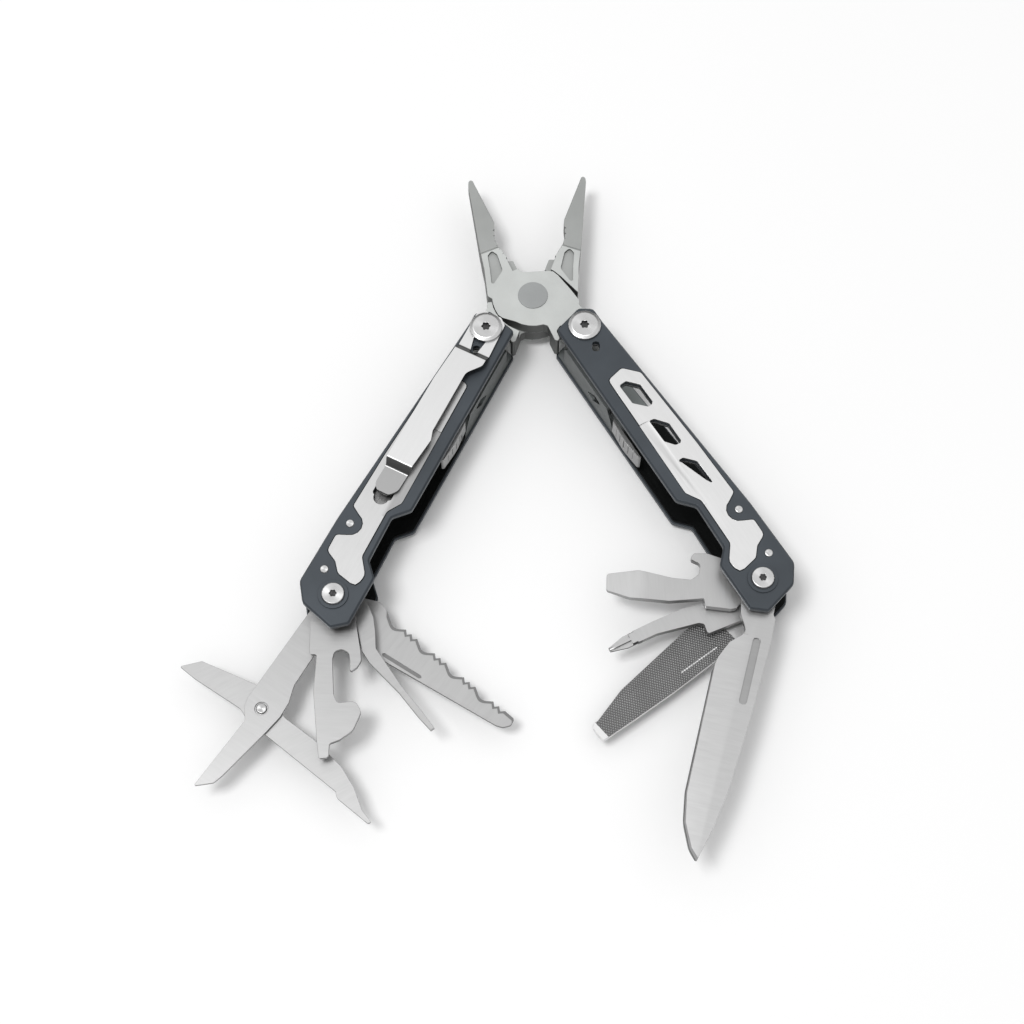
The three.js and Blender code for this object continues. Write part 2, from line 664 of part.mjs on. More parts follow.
const PHILLIPS_TANG = [
  [4.9, 5.3], [14.5, 4.5, 1], [17.4, 4.3, 0.4], [16.9, 1.6, 0.8], [18.0, 0.7, 0.6],
  [28.9, -1.6, 2], [34.2, -1.75], [34.2, -5.05], [28.0, -5.0, 2], [19.7, -4.6, 2], [14.3, -3.6, 1],
];

const SCISSOR_RIVET = [32.6, 0.3];
const SCISSOR_RIVET_R = 1.1;
const SECOND_BLADE = [
  [34.5, 24.6, 0.2], [30.3, 20.6, 0.8], [27.9, 5.0, 3], [28.6, -2.0, 3], [31.2, -5.4, 2], [32.0, -15.7, 5],
  [34.0, -25.0, 5], [36.7, -30.6, 1.5], [40.4, -35.6, 1.5], [41.6, -39.2, 1], [42.4, -38.6, 0.4],
  [41.2, -28.4, 1.5], [40.0, -27.4, 1], [37.6, -5.2, 2], [37.0, 1.6, 3], [35.3, 5.0, 2], [35.1, 19.4, 2],
];

function leaf(points, hand, level) {
  const tangEnd = arc(TANG_R, -100, -260, 8);
  return cut(prism(flip([...points, ...tangEnd], -hand), level, 4), bore(0, 0));
}

// Two wedges that grind a leaf from both faces, from a line down to its cutting edge.
// reach is the distance to the edge, left the thickness that stays there.
function grind(from, to, reach, hand, [z0, z1], left) {
  const dx = to[0] - from[0];
  const dy = to[1] - from[1];
  const mid = (z0 + z1) / 2;
  return [1, -1].map((up) => {
    const outer = up > 0 ? z1 : z0;
    const edge = mid + (up * left) / 2;
    const end = reach + 4;
    const profile = [[0, outer], [reach, edge], [end, edge], [end, outer + up], [0, outer + up]];
    const wedge = across(profile, [0, Math.hypot(dx, dy)])
      .rotate([0, 0, Math.atan2(dy, dx) / RAD - 90])
      .translate([from[0], from[1], 0]);
    return hand > 0 ? wedge.mirror([0, 1, 0]) : wedge;
  });
}

const REST_DIRECTION = {
  can_opener: -95.26,
  small_driver: -58.26,
  scissors: -124.76,
  serrated_blade: -38.26,
  knife: -107.26,
  bottle_opener: -180.26,
  phillips_driver: -155.26,
  file: -140.26,
};

function toolGroup(handleGroup, handleDirection, direction) {
  const group = new THREE.Group();
  group.position.set(STACK_U, 0, 0);
  group.rotation.z = (direction - handleDirection) * RAD;
  handleGroup.add(group);
  return group;
}

const dirRight = -HANDLE_SPLAY;
const dirLeft = -180 + HANDLE_SPLAY;
const L = 1;
const R = -1;

// Left handle: can opener, small driver, scissors, serrated blade.
toolGroup(left, dirLeft, REST_DIRECTION.can_opener).add(
  piece("can_opener", leaf(LEAVES.can_opener, L, Z_CAN), BRUSHED),
);
toolGroup(left, dirLeft, REST_DIRECTION.small_driver).add(
  piece("small_driver", leaf(LEAVES.small_driver, L, Z_DRIVER), BRUSHED),
);
const nick = [[16.9, 3.2, 0.5], [28.9, 2.5, 0.5], [28.9, 1.5, 0.5], [16.9, 2.2, 0.5]];
const bandTop = Z_SERRATED[1] - BAND_DEPTH;
const serrated = cut(
  join(leaf(serratedOutline(0), L, [Z_SERRATED[0], bandTop]), leaf(serratedOutline(BAND_W), L, Z_SERRATED)),
  prism(flip(nick, -L), [Z_SERRATED[1] - 0.35, 9]),
);
toolGroup(left, dirLeft, REST_DIRECTION.serrated_blade).add(piece("serrated_blade", serrated, BRUSHED));

const scissors = toolGroup(left, dirLeft, REST_DIRECTION.scissors);
const rivetAt = [SCISSOR_RIVET[0], -L * SCISSOR_RIVET[1]];
const scissorHole = bore(...rivetAt, SCISSOR_RIVET_R + 0.15);
const scissorSink = round(1.75, 1.75, [Z_SCISSORS[1] - 0.35, Z_SCISSORS[1] + 1], rivetAt, 20);
scissors.add(
  piece("scissors_blade", cut(leaf(LEAVES.scissors_main, L, Z_SCISSORS), scissorHole, scissorSink), BRUSHED),
  piece("scissors_lever_blade", cut(prism(flip(SECOND_BLADE, -L), Z_SECOND_BLADE), scissorHole), BRUSHED),
  piece(
    "scissors_rivet",
    join(
      round(SCISSOR_RIVET_R, SCISSOR_RIVET_R, [Z_SECOND_BLADE[0], Z_SCISSORS[1] + 0.1], rivetAt, 20),
      round(1.4, 1.4, [Z_SCISSORS[1] - 0.3, Z_SCISSORS[1]], rivetAt, 20),
      round(1.4, 1.2, [Z_SCISSORS[1], Z_SCISSORS[1] + 0.2], rivetAt, 20),
    ),
    POLISHED,
  ),
);

// Right handle: knife, bottle opener with a driver tip, Phillips driver, file.
let knife = leaf(LEAVES.knife, R, Z_KNIFE);
knife = cut(
  knife,
  grind([14.6, 0.5], [76.0, -0.6], 7.4, R, Z_KNIFE, 1.3),
  grind([20.0, -6.3], [58.6, -5.7], 0.8, R, Z_KNIFE, 0.25),
  grind([57.5, -5.8], [66.3, -4.3], 0.8, R, Z_KNIFE, 0.25),
  grind([65.0, -4.6], [71.6, -1.6], 0.8, R, Z_KNIFE, 0.25),
  grind([70.6, -2.3], [74.6, 1.3], 0.8, R, Z_KNIFE, 0.25),
);
const groove = [[14.8, 3.2, 1], [32.9, 3.2, 1], [32.9, 1.2, 1], [14.8, 1.2, 1]];
knife = cut(knife, prism(flip(groove, -R), [Z_KNIFE[1] - 0.5, 17]));
toolGroup(right, dirRight, REST_DIRECTION.knife).add(piece("knife_blade", knife, BRUSHED));

let bottle = leaf(LEAVES.bottle_opener, R, Z_BOTTLE);
const tipSlope = across([[29.0, Z_BOTTLE[1]], [41.0, Z_BOTTLE[1] - 1.0], [41.0, 14], [29.0, 14]], [-12, 12]);
bottle = cut(bottle, tipSlope);
toolGroup(right, dirRight, REST_DIRECTION.bottle_opener).add(piece("bottle_opener", bottle, BRUSHED));

// Phillips driver: flat tang, round shank, and a cross point cut by four flutes.
const shankZ = (Z_PHILLIPS[0] + Z_PHILLIPS[1]) / 2;
const tang = leaf(PHILLIPS_TANG, R, Z_PHILLIPS);
const shank = join(
  bar(1.7, 1.7, [0, 4.2], 0, 0, 16),
  bar(1.7, 0.6, [4.1, 8.6], 0, 0, 16),
);
const flutes = [45, 135, 225, 315].map((a) =>
  box([2.6, 10.0], [0.32, 3.0], [0.32, 3.0]).rotate([a - 45, 0, 0]),
);
const flatFaces = box([-1, 10], [-3, 3], [-1.0, 1.0]);
const driver = cut(shank.intersect(flatFaces), flutes).translate([33.1, 3.4 * R, shankZ]);
toolGroup(right, dirRight, REST_DIRECTION.phillips_driver).add(
  piece("phillips_driver", cut(join(tang, driver), bore(0, 0)), BRUSHED),
);

let file = leaf(LEAVES.file, R, Z_FILE);
const fileGroove = [[17.6, 3.35], [29.3, 2.15], [29.3, 1.7], [17.6, 2.9]];
file = cut(file, prism(flip(fileGroove, -R), [Z_FILE[1] - 0.4, 7]));
toolGroup(right, dirRight, REST_DIRECTION.file).add(piece("file", file, DARK_STEEL));

// Washers and spacers on the two stack barrels.
function ring(name, group, level) {
  const body = cut(round(WASHER_R, WASHER_R, level, [STACK_U, 0]), bore(STACK_U, 0));
  group.add(piece(name, body, BRUSHED));
}
ring("washer_right_1", right, [5.9, 7.2]);
ring("washer_right_2", right, [9.4, 9.9]);
ring("washer_right_3", right, [12.3, 12.6]);
ring("spacer_left_1", left, [3.8, 5.9]);
ring("spacer_left_2", left, [12.5, 15.2]);

// Each handle hangs on the eye of the jaw that reaches across to its side.
const eye = (sign) => {
  const a = JAW_OPEN * RAD;
  const x = -EYE[0] * Math.cos(a) - EYE[1] * Math.sin(a);
  const y = -EYE[0] * Math.sin(a) + EYE[1] * Math.cos(a);
  return [sign * x, y];
};
right.position.set(...eye(1), 0);
right.rotation.z = dirRight * RAD;
left.position.set(...eye(-1), 0);
left.rotation.z = dirLeft * RAD;
tool.add(right, left);

// The part's frame: bottom centre of its bounding box.
const bounds = new THREE.Box3().setFromObject(tool, true);
const centre = bounds.getCenter(new THREE.Vector3());
tool.position.set(-centre.x, -centre.y, -bounds.min.z);
const multiTool = new THREE.Group();
multiTool.name = "multi_tool";
multiTool.add(tool);

export default multiTool;
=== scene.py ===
import json
import math

import bmesh
import bpy
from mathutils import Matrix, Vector


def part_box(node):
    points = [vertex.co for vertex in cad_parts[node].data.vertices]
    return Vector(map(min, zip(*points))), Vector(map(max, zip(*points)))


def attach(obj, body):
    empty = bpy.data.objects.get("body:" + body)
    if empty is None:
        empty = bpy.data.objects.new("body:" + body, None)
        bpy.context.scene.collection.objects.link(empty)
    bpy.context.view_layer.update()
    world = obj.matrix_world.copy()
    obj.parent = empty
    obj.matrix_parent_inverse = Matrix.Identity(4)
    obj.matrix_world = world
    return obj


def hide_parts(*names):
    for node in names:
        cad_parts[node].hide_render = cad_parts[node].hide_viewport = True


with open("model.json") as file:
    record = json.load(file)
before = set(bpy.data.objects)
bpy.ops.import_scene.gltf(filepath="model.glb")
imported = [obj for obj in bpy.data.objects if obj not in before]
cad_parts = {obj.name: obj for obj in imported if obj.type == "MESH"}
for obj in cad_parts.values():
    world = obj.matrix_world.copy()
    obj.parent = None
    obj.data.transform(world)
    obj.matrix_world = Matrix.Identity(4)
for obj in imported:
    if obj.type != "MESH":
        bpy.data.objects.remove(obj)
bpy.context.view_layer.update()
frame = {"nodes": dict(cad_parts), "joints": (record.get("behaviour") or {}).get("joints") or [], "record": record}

MM = 0.001
BODY_OF = {n: b for b, nodes in frame["record"]["behaviour"]["bodies"].items() for n in nodes}
JOINT = {j["name"]: j for j in frame["joints"]}

# Directions in plan, in degrees: each handle from its pivot, each leaf from its screw.
HANDLE_TURN = {"right": -61.0, "left": -119.0}
LEAF_TURN = {
    "can_opener": ("can_opener_pivot", -95.26),
    "small_driver": ("small_driver_pivot", -58.26),
    "scissors_blade": ("scissors_pivot", -124.76),
    "scissors_lever_blade": ("scissors_pivot", -124.76 + 60.0),
    "serrated_blade": ("serrated_blade_pivot", -38.26),
    "knife_blade": ("knife_pivot", -107.26),
    "bottle_opener": ("bottle_opener_pivot", -180.26),
    "phillips_driver": ("phillips_pivot", -155.26),
    "file": ("file_pivot", -140.26),
}

# How far a face looks up, from the value that counts as steep to the value that counts as level.
WALL = (0.25, 0.65)
SLOPE = (0.93, 0.998)

# Noise cells per metre: along the piece, across it and through its thickness, or the same all ways.
BRUSH_ALONG = (130.0, 2600.0, 500.0)
BRUSH_ACROSS = (2600.0, 130.0, 500.0)
BRUSH_CLOUD = (55.0,) * 3
BLAST_GRAIN = (4200.0,) * 3
BLAST_CLOUD = (120.0,) * 3
ANODISED_GRAIN = (5000.0,) * 3
ANODISED_CLOUD = (70.0,) * 3
TURNED_SMEAR = (500.0,) * 3
FILE_RUB = (140.0,) * 3
PAPER_CLOUD = (6.0,) * 3

# Turned screws, in mm: pitch of the rings, radius of the driver recess, and the depth below which the recess gets
# painted shade.
RING_PITCH = 0.3
RECESS_R = 1.7
RECESS_DEPTH = 0.12

# Teeth of the file: pitch and length of the cut stretch, in mm, and how far the two cuts lean.
FILE_PITCH = 0.74
FILE_CUT = (12.6, 54.6)
FILE_CUT_SLOPES = (0.62, -0.78)

# Bands over which a mark fades, in mm: away from the mid-plane of its piece, or along it from its pivot. Most
# marks are painted shade; clip_tongue greys the clip's tongue, and file_face bounds the file's cut.
BAND = {
    "jaw_nose": (3.35, 3.8),
    "thumb_scoop": (8.46, 8.60),
    "clip_tongue": (46.0, 48.0),
    "lock_channel": (24.0, 27.0),
    "knife_bevel": (0.38, 0.44),
    "nail_groove": (0.85, 0.95),
    "serrations": (0.36, 0.42),
    "file_face": (0.72, 0.76),
}
# What is left of the colour under painted shade; clip_tongue only greys the clip's tongue.
SHADE = {
    "brushed_wall": 0.6,
    "turned_wall": 0.5,
    "driver_recess": 0.12,
    "jaw_nose": 0.72,
    "jaw_wall": 0.35,
    "thumb_scoop": 0.7,
    "clip_bend": 0.2,
    "clip_tongue": 0.62,
    "lock_channel": 0.06,
    "knife_bevel": 0.5,
    "serrations": 0.46,
    "driver_flute": 0.35,
}
# Limits of the painted shades that end sharply, in mm: across a blade from its pivot, and along the driver.
BEVEL_BELOW = 0.4
GROOVE_ABOVE = 1.0
DRIVER_TIP = 33.0
# The weight below sets the painted shade of the nail groove against that of the edge bevel.
GROOVE_WEIGHT = 0.55  # how strong the nail groove is beside the edge bevel

# How bright each steel is, from 0 to 1, and the floor; the levels noted below carry painted shade.
LEVEL = {
    "jaw": 0.58,
    "jaw_rivet": 0.37,
    # The left inlay is set darker than the right one, though the two are alike: painted shade.
    "inlay_left": 0.60,
    "inlay_right": 0.76,
    "liner": 0.30,
    # The lower liner is darker than the liner: painted shade.
    "lower_liner_painted_shade": 0.22,
    "release": 0.48,
    "screw": 0.66,
    "clip": 0.78,
    # The left leaves are set darker than the right to offset the stronger light they catch: painted shade.
    "leaf_left_painted_shade": 0.41,
    "leaf_right": 0.50,
    "scissors_rivet": 0.52,
    "washer": 0.4,
    # Dark file valleys: painted shade between the teeth.
    "file_valley_painted_shade": 0.12,
    "file_crest": 0.50,
    "file_smooth_low": 0.7,
    "file_smooth_high": 0.78,
    "floor_low": 0.86,
    "floor_high": 0.88,
}
# Widths of the rolled edges, in mm.
ROLL = {
    "jaw": 0.3,
    "jaw_rivet": 0.04,
    "scale": 0.10,
    "inlay": 0.10,
    "liner": 0.08,
    "rivet": 0.12,
    "screw": 0.16,
    "release": 0.15,
    "spring": 0.05,
    "clip": 0.3,
    "leaf": 0.07,
    "scissors_rivet": 0.08,
    "washer": 0.06,
}
SMOOTH_ANGLE = math.radians(26.0)  # sharper edges are rolled, flatter ones are smoothed
FLAT_ANGLE = math.radians(0.8)  # facets closer than this merge into one face
WELD = 0.002 * MM

# ---- Node helpers ----

RANGE_KEYS = ("From Min", "From Max", "To Min", "To Max")


class Shader:
    """A material under construction: adds nodes and links them in one call."""

    def __init__(self, name):
        self.material = bpy.data.materials.new(name)
        self.material.use_nodes = True
        self.tree = self.material.node_tree
        self.tree.nodes.clear()
        output = self.tree.nodes.new("ShaderNodeOutputMaterial")
        self.surface = self.tree.nodes.new("ShaderNodeBsdfPrincipled")
        self.tree.links.new(self.surface.outputs[0], output.inputs["Surface"])

    def node(self, kind, settings=None, **inputs):
        """A node with its settings and inputs; an input goes by its name, or by its number as in i0."""
        n = self.tree.nodes.new(kind)
        for key, value in (settings or {}).items():
            setattr(n, key, value)
        for key, value in inputs.items():
            self.feed(n.inputs[int(key[1:]) if key[0] == "i" and key[1:].isdigit() else key], value)
        return n

    def feed(self, socket, value):
        if isinstance(value, bpy.types.NodeSocket):
            self.tree.links.new(value, socket)
        else:
            socket.default_value = value

    def math(self, operation, a, b=0.0):
        return self.node("ShaderNodeMath", {"operation": operation}, i0=a, i1=b).outputs[0]

    def vector(self, operation, a, b):
        return self.node("ShaderNodeVectorMath", {"operation": operation}, i0=a, i1=b).outputs[0]

    def axes(self, vector):
        """The three components of a vector."""
        return self.node("ShaderNodeSeparateXYZ", None, Vector=vector).outputs

    def up(self):
        """How far a face looks up: 1 on a level upper face, 0 on an upright wall."""
        return self.axes(self.node("ShaderNodeNewGeometry").outputs["Normal"])[2]

    def local(self, origin=(0, 0, 0), turn=0.0):
        """Object coordinates measured from origin, with X along the given direction in plan."""
        point = self.node("ShaderNodeTexCoord").outputs["Object"]
        moved = self.vector("SUBTRACT", point, tuple(origin))
        turned = self.node(
            "ShaderNodeVectorRotate", {"rotation_type": "Z_AXIS"}, Vector=moved, Angle=math.radians(-turn)
        )
        return turned.outputs[0]

    def noise(self, vector, stretch, detail=2.0, roughness=0.5):
        scaled = self.vector("MULTIPLY", vector, stretch)
        settings = {"Scale": 1.0, "Detail": detail, "Roughness": roughness}
        return self.node("ShaderNodeTexNoise", None, Vector=scaled, **settings).outputs["Fac"]

    def ramp(self, value, low, high, out_low, out_high):
        n = self.node("ShaderNodeMapRange", None, Value=value)
        for key, v in zip(RANGE_KEYS, (low, high, out_low, out_high)):
            n.inputs[key].default_value = v
        return n.outputs[0]

    def band(self, value, name, out_low, out_high):
        """A factor that changes over the named band."""
        low, high = BAND[name]
        return self.ramp(value, low * MM, high * MM, out_low, out_high)

    def near_plane(self, vector, plane, name, out_low, out_high):
        """A factor that changes over the named band, measured away from a level plane on both sides."""
        away = self.math("ABSOLUTE", self.math("SUBTRACT", self.axes(vector)[2], plane))
        return self.band(away, name, out_low, out_high)

    def upright_walls(self, factor):
        """1 on level faces, and the given factor on upright ones, for painted shade on walls."""
        return self.ramp(self.math("ABSOLUTE", self.up()), *WALL, factor, 1.0)

    def slopes(self, factor):
        """1 on level upper faces, and the given factor on faces that slope, for painted shade on slopes."""
        return self.ramp(self.up(), *SLOPE, factor, 1.0)

    def dim(self, colour, factor):
        """The colour darkened by a grey factor."""
        grey = self.node("ShaderNodeCombineColor", None, i0=factor, i1=factor, i2=factor).outputs[0]
        settings = {"data_type": "RGBA", "blend_type": "MULTIPLY"}
        return self.node("ShaderNodeMix", settings, i0=1.0, i6=colour, i7=grey).outputs[2]

    def mix(self, factor, a, b):
        return self.node("ShaderNodeMix", {"data_type": "RGBA"}, i0=factor, i6=a, i7=b).outputs[2]

    def bump(self, height, strength, distance):
        n = self.node("ShaderNodeBump", None, Strength=strength, Distance=distance, Height=height)
        self.feed(self.surface.inputs["Normal"], n.outputs[0])


def rgb(level, tint=(1.0, 1.0, 1.0)):
    return (level * tint[0], level * tint[1], level * tint[2], 1.0)


def brushed(
    name, level, origin, turn, along=True, rough=0.34, contrast=0.06, tint=(1, 1, 1), shade_painter=None, relief=0.1
):
    """Satin steel with fine grinding lines along or across; upright walls get painted shade, and an optional
    function of (shader, point) gives a further factor of painted shade.
    """
    s = Shader(name)
    p = s.local(origin, turn)
    lines = s.noise(p, BRUSH_ALONG if along else BRUSH_ACROSS, 3.0, 0.65)
    broad = s.noise(p, BRUSH_CLOUD, 2.0, 0.5)
    both = s.math("ADD", s.math("MULTIPLY", lines, 0.7), s.math("MULTIPLY", broad, 0.3))
    shade = s.ramp(both, 0.3, 0.7, 0.0, 1.0)
    colour = s.mix(shade, rgb(level * (1 - contrast), tint), rgb(level * (1 + contrast), tint))
    # Painted shade: upright walls are darker, as if in shadow.
    colour = s.dim(colour, s.upright_walls(SHADE["brushed_wall"]))
    if shade_painter:
        colour = s.dim(colour, shade_painter(s, p))
    s.feed(s.surface.inputs["Base Color"], colour)
    s.surface.inputs["Metallic"].default_value = 1.0
    spread = min(0.06, 0.6 * relief)
    s.feed(s.surface.inputs["Roughness"], s.ramp(lines, 0.3, 0.7, rough - spread, rough + spread))
    s.bump(lines, relief, 0.02 * MM)
    return s.material


def blasted(name, level, tint, rough=0.55, shade_painter=None):
    """Bead-blasted steel: a fine even grain with faint cloudiness; an optional function of (shader, point) gives a
    factor of painted shade.
    """
    s = Shader(name)
    p = s.local()
    grain = s.noise(p, BLAST_GRAIN, 2.0, 0.6)
    cloud = s.noise(p, BLAST_CLOUD, 3.0, 0.5)
    both = s.math("ADD", s.math("MULTIPLY", grain, 0.5), s.math("MULTIPLY", cloud, 0.5))
    shade = s.ramp(both, 0.35, 0.65, 0.0, 1.0)
    colour = s.mix(shade, rgb(level * 0.92, tint), rgb(level * 1.06, tint))
    if shade_painter:
        colour = s.dim(colour, shade_painter(s, p))
    s.feed(s.surface.inputs["Base Color"], colour)
    s.surface.inputs["Metallic"].default_value = 0.85
    s.feed(s.surface.inputs["Roughness"], s.ramp(grain, 0.3, 0.7, rough - 0.05, rough + 0.08))
    s.bump(grain, 0.25, 0.03 * MM)
    return s.material


def anodised(name, color):
    """Dark anodised aluminium: fine satin grain, and wear that lightens it in small patches."""
    s = Shader(name)
    p = s.local()
    grain = s.noise(p, ANODISED_GRAIN, 2.0, 0.6)
    cloud = s.noise(p, ANODISED_CLOUD, 4.0, 0.55)
    shade = s.ramp(cloud, 0.3, 0.7, 0.0, 1.0)
    low = tuple(c * 0.88 for c in color) + (1.0,)
    high = tuple(c * 1.14 for c in color) + (1.0,)
    s.feed(s.surface.inputs["Base Color"], s.mix(shade, low, high))
    s.surface.inputs["Metallic"].default_value = 0.45
    s.feed(s.surface.inputs["Roughness"], s.ramp(grain, 0.3, 0.7, 0.36, 0.5))
    s.bump(grain, 0.12, 0.02 * MM)
    return s.material


def turned(name, level, centre, rough=0.24, recess=None):
    """Lathe-turned steel: fine rings round the screw's own axis; painted shade darkens the upright walls, and the
    driver recess below a level.
    """
    s = Shader(name)
    p = s.local(centre)
    flat = s.vector("MULTIPLY", p, (1.0, 1.0, 0.0))
    radius = s.node("ShaderNodeVectorMath", {"operation": "LENGTH"}, i0=flat).outputs["Value"]
    rings = s.math("SINE", s.math("MULTIPLY", radius, 2 * math.pi / (RING_PITCH * MM)))
    smear = s.noise(p, TURNED_SMEAR, 2.0, 0.5)
    shade = s.ramp(s.math("ADD", s.math("MULTIPLY", rings, 0.1), smear), 0.3, 0.7, 0.0, 1.0)
    colour = s.mix(shade, rgb(level * 0.95), rgb(level * 1.04))
    # Painted shade: upright walls are darker, as if in shadow.
    colour = s.dim(colour, s.upright_walls(SHADE["turned_wall"]))
    # Painted shade: the driver recess below its level is dark.
    if recess:
        below = s.math("LESS_THAN", s.axes(s.local())[2], recess)
        deep = s.math("MULTIPLY", below, s.math("LESS_THAN", radius, RECESS_R * MM))
        colour = s.dim(colour, s.ramp(deep, 0.0, 1.0, 1.0, SHADE["driver_recess"]))
    s.feed(s.surface.inputs["Base Color"], colour)
    s.surface.inputs["Metallic"].default_value = 1.0
    s.surface.inputs["Anisotropic"].default_value = 0.6
    around = s.node("ShaderNodeVectorMath", {"operation": "CROSS_PRODUCT"}, i0=flat, i1=(0.0, 0.0, 1.0))
    turned_with = s.node(
        "ShaderNodeVectorTransform",
        {"vector_type": "VECTOR", "convert_from": "OBJECT", "convert_to": "WORLD"},
        i0=around.outputs[0],
    )
    s.feed(s.surface.inputs["Tangent"], turned_with.outputs[0])
    s.feed(s.surface.inputs["Roughness"], s.ramp(smear, 0.2, 0.8, rough, rough + 0.1))
    s.bump(rings, 0.1, 0.01 * MM)
    return s.material


def file_steel(name, origin, turn):
    """Cross-cut file faces between a smooth tang and a smooth tip; the cut is real, and its dark valleys are
    painted shade.
    """
    s = Shader(name)
    p = s.local(origin, turn)
    x, y = s.axes(p)[:2]
    waves = []
    for slope in FILE_CUT_SLOPES:
        phase = s.math("ADD", x, s.math("MULTIPLY", y, slope))
        waves.append(s.math("SINE", s.math("MULTIPLY", phase, 2 * math.pi / (FILE_PITCH * MM))))
    diamonds = s.math("MULTIPLY", s.math("ADD", waves[0], 1.0), s.math("ADD", waves[1], 1.0))
    height = s.math("MULTIPLY", diamonds, 0.25)
    first, last = (end * MM for end in FILE_CUT)
    cut = s.math("MULTIPLY", s.math("GREATER_THAN", x, first), s.math("LESS_THAN", x, last))
    toothed = s.math("MULTIPLY", height, cut)
    rubbed = s.noise(p, FILE_RUB, 3.0, 0.5)
    shade = s.ramp(toothed, 0.0, 0.75, 0.0, 1.0)
    worn = s.math("MULTIPLY", shade, s.ramp(rubbed, 0.3, 0.7, 0.65, 1.0))
    # Painted shade: the valleys between the teeth are dark and the crests bright.
    rough_steel = s.mix(worn, rgb(LEVEL["file_valley_painted_shade"]), rgb(LEVEL["file_crest"]))
    smooth_steel = s.mix(rubbed, rgb(LEVEL["file_smooth_low"]), rgb(LEVEL["file_smooth_high"]))
    within = s.near_plane(s.local(), middle("file"), "file_face", 0.0, 1.0)
    s.feed(s.surface.inputs["Base Color"], s.mix(s.math("MULTIPLY", cut, within), smooth_steel, rough_steel))
    s.surface.inputs["Metallic"].default_value = 0.95
    s.feed(s.surface.inputs["Roughness"], s.ramp(cut, 0.0, 1.0, 0.35, 0.46))
    s.bump(toothed, 0.9, 0.16 * MM)
    return s.material


# ---- Pieces ----


def refine(node, material, bevel, segments=2):
    """A copy of a CAD node with merged flats, rolled edges and its finish, standing in for the node."""
    bm = bmesh.new()
    bm.from_mesh(frame["nodes"][node].data)
    bmesh.ops.remove_doubles(bm, verts=bm.verts, dist=WELD)
    bmesh.ops.dissolve_limit(
        bm, angle_limit=FLAT_ANGLE, use_dissolve_boundaries=False, verts=bm.verts, edges=bm.edges
    )
    for face in bm.faces:
        face.smooth = True
    for edge in bm.edges:
        edge.smooth = len(edge.link_faces) == 2 and edge.calc_face_angle(0.0) < SMOOTH_ANGLE
    mesh = bpy.data.meshes.new(node + "_fine")
    bm.to_mesh(mesh)
    bm.free()
    mesh.materials.append(material)
    piece = bpy.data.objects.new(node + "_fine", mesh)
    bpy.context.scene.collection.objects.link(piece)
    roll = piece.modifiers.new("rolled_edges", "BEVEL")
    roll.width = bevel * MM
    roll.segments = segments
    roll.limit_method = "ANGLE"
    roll.angle_limit = SMOOTH_ANGLE
    roll.miter_outer = "MITER_ARC"
    even = piece.modifiers.new("flat_faces_rule", "WEIGHTED_NORMAL")
    even.weight = 100
    even.keep_sharp = True
    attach(piece, BODY_OF[node])
    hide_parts(node)


TOOL_MID = 9.5 * MM  # the mid-plane of the handles
JAW_NOSE_MID = 4.05 * MM  # the mid-plane of the jaws' noses, above their undersides


def middle(node):
    """The height of a node's mid-plane."""
    low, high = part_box(node)
    return (low[2] + high[2]) / 2


def centre(node):
    """The centre of a node's box."""
    low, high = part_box(node)
    return (low + high) / 2


# The hub of a jaw is taller than its nose, so the nose's mid-plane is measured from the underside.
JAW_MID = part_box("jaw_left")[0][2] + JAW_NOSE_MID


def jaw_painted_shade(s, p):
    """Painted shade: the noses and the cutter, below the hub's faces, are darker, and so are the upright walls."""
    noses = s.near_plane(p, JAW_MID, "jaw_nose", SHADE["jaw_nose"], 1.0)
    return s.math("MULTIPLY", noses, s.upright_walls(SHADE["jaw_wall"]))


def scoop_painted_shade(s, p):
    """Painted shade: the thumb scoop, which lies below the inlay's face, is greyer."""
    return s.near_plane(p, TOOL_MID, "thumb_scoop", SHADE["thumb_scoop"], 1.0)


def clip_bend_shade_and_tongue_grey(s, p):
    """Painted shade darkens the sloping stepped bends of the clip, and its tongue is greyer."""
    tongue = s.band(s.axes(p)[0], "clip_tongue", 1.0, SHADE["clip_tongue"])
    return s.math("MULTIPLY", s.slopes(SHADE["clip_bend"]), tongue)


def channel_painted_shade(s, p):
    """Painted shade: grey at the lock wall, and nearly black further down the channel, which lies in deep shadow.
    """
    return s.band(s.axes(p)[0], "lock_channel", 1.0, SHADE["lock_channel"])


def knife_painted_shade(s, p):
    """Painted shade: the narrow edge bevel and the floor of the nail groove are darker."""
    y = s.axes(p)[1]
    bevel = s.near_plane(p, middle("knife_blade"), "knife_bevel", 1.0, 0.0)
    groove = s.near_plane(p, middle("knife_blade"), "nail_groove", 1.0, 0.0)
    edge = s.math("MULTIPLY", bevel, s.math("LESS_THAN", y, BEVEL_BELOW * MM))
    nail = s.math("MULTIPLY", groove, s.math("GREATER_THAN", y, GROOVE_ABOVE * MM))
    mark = s.math("MAXIMUM", edge, s.math("MULTIPLY", nail, GROOVE_WEIGHT))
    return s.ramp(mark, 0.0, 1.0, 1.0, SHADE["knife_bevel"])


def serration_band_painted_shade(s, p):
    """Painted shade: the ground band along the serrations and the nail nick, both below the blade's face, are
    darker.
    """
    return s.near_plane(p, middle("serrated_blade"), "serrations", SHADE["serrations"], 1.0)


def flute_painted_shade(s, p):
    """Painted shade: the sloping flutes and cone of the driver tip are darker than the flats."""
    tip = s.math("GREATER_THAN", s.axes(p)[0], DRIVER_TIP * MM)
    lost = s.math("SUBTRACT", 1.0, s.slopes(SHADE["driver_flute"]))
    return s.math("SUBTRACT", 1.0, s.math("MULTIPLY", tip, lost))


